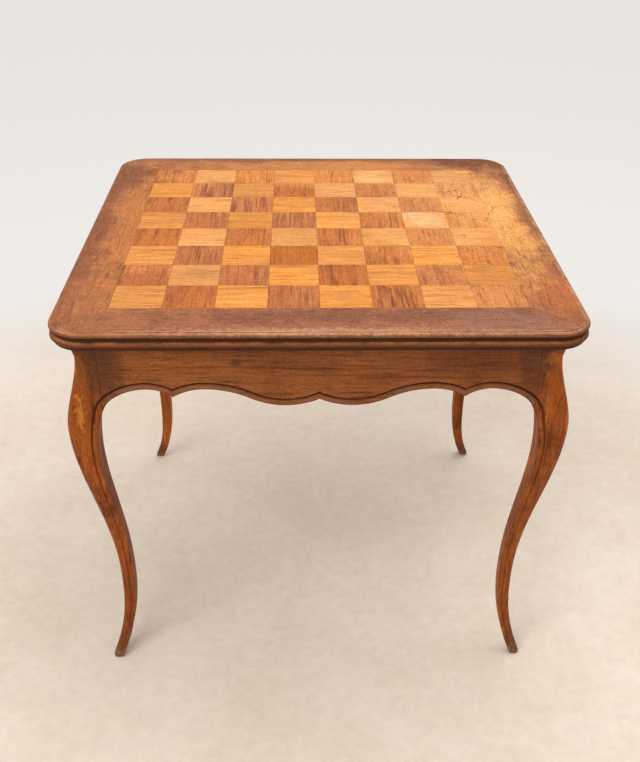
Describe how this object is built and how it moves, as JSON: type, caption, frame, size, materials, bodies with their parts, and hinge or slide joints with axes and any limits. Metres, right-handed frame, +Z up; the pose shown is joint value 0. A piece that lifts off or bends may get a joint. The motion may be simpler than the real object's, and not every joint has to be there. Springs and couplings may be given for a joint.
{
  "type": "chess table",
  "caption": "Square games table with an inlaid checker board, scalloped aprons and cabriole legs, whose draw leaves slide out to front and back under a loose top.",
  "frame": {"origin": "on the floor under the middle of the table", "axes": "+X to the right of someone who faces the front apron, +Y to the back, +Z up"},
  "size_m": [0.848, 0.848, 0.755],
  "materials": {
    "border_wood": "worn wax over walnut",
    "light_square_wood": "worn wax over honey-coloured fruitwood",
    "dark_square_wood": "worn wax over walnut, its grain to the back",
    "apron_wood": "waxed walnut",
    "leg_wood": "waxed walnut, rubbed light on the knees",
    "leaf_wood": "waxed fruitwood",
    "inner_wood": "bare oak",
    "peg_wood": "waxed oak"
  },
  "bodies": {
    "frame": {"leg_front_left": "leg_wood", "leg_front_right": "leg_wood", "leg_back_left": "leg_wood", "leg_back_right": "leg_wood", "drawbore_pegs": "peg_wood", "cross_rail": "inner_wood", "centre_board": "leaf_wood", "corner_block_back_right": "inner_wood", "corner_block_back_left": "inner_wood", "corner_block_front_right": "inner_wood", "corner_block_front_left": "inner_wood", "apron_front": "apron_wood", "apron_back": "apron_wood", "apron_left": "apron_wood", "apron_right": "apron_wood"},
    "top": {"top_border_front": "border_wood", "top_border_right": "border_wood", "top_border_back": "border_wood", "top_border_left": "border_wood", "top_core": "inner_wood", "top_guide_pegs": "peg_wood", "light_squares": "light_square_wood", "dark_squares": "dark_square_wood"},
    "leaf_front": {"leaf_front_border_end": "border_wood", "leaf_front_border_right": "border_wood", "leaf_front_border_left": "border_wood", "leaf_front_bearer_left": "inner_wood", "leaf_front_bearer_right": "inner_wood", "leaf_front_panel": "leaf_wood", "leaf_front_stop_pegs": "peg_wood"},
    "leaf_back": {"leaf_back_border_end": "border_wood", "leaf_back_border_right": "border_wood", "leaf_back_border_left": "border_wood", "leaf_back_bearer_left": "inner_wood", "leaf_back_bearer_right": "inner_wood", "leaf_back_panel": "leaf_wood", "leaf_back_stop_pegs": "peg_wood"}
  },
  "joints": [
    {"name": "leaf_front_draw", "type": "slide", "parent": "frame", "child": "leaf_front", "axis": [0, -1, 0], "range_m": [0, 0.295]},
    {"name": "leaf_back_draw", "type": "slide", "parent": "frame", "child": "leaf_back", "axis": [0, 1, 0], "range_m": [0, 0.295]},
    {"name": "top_lift", "type": "slide", "parent": "frame", "child": "top", "axis": [0, 0, 1], "range_m": [0, 0.05]}
  ]
}
